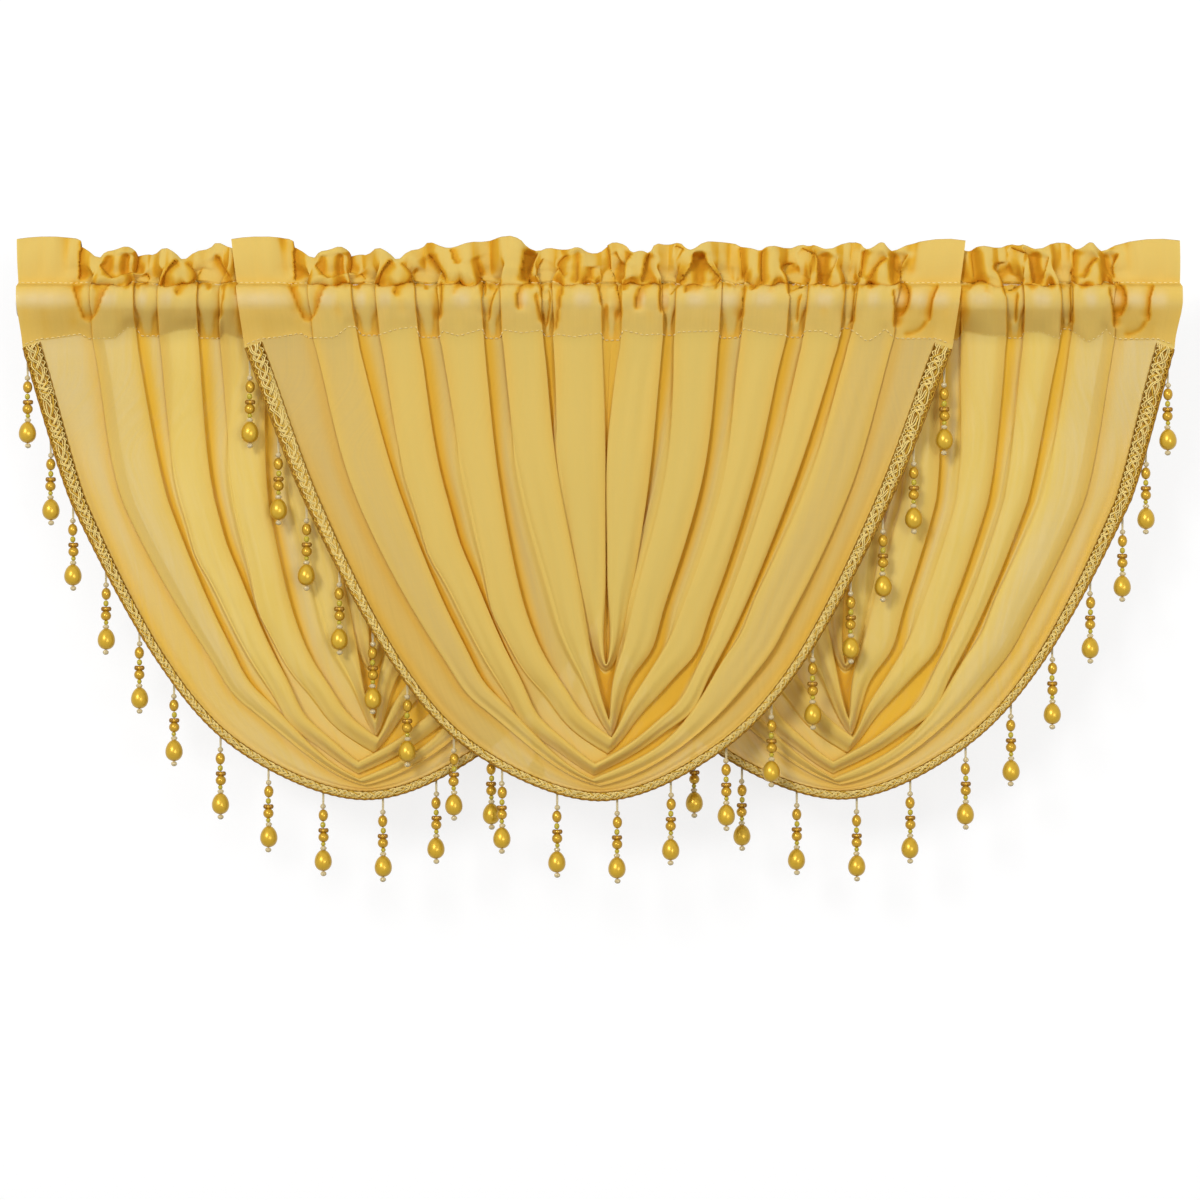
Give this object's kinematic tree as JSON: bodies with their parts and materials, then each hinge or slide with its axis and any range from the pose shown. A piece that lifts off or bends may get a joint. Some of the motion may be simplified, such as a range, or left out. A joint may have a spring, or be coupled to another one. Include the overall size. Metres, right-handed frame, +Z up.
{
  "type": "rod pocket swag valances on curtain rod",
  "caption": "Sheer rod pocket swag valances with gimp braid and beaded fringe, gathered on one shared round curtain rod, the middle one in front.",
  "frame": {"origin": "centre of the rod's left end face", "axes": "+X along the rod to the right as seen from the room, +Y towards the wall behind, +Z up"},
  "size_m": [1.162, 0.0747, 0.6457],
  "materials": {
    "voile": "sheer golden yellow voile, soft sheen",
    "gimp_braid": "looped gold and cream gimp braid, satin",
    "beads": "golden pearl and clear seed beads on pale thread, glossy",
    "rod": "off-white, satin"
  },
  "bodies": {
    "root": {"rod": "rod", "left_valance_panel": "voile", "left_valance_braid": "gimp_braid", "left_valance_fringe": "beads", "middle_valance_panel": "voile", "middle_valance_braid": "gimp_braid", "middle_valance_fringe": "beads", "right_valance_panel": "voile", "right_valance_braid": "gimp_braid", "right_valance_fringe": "beads"}
  },
  "joints": []
}
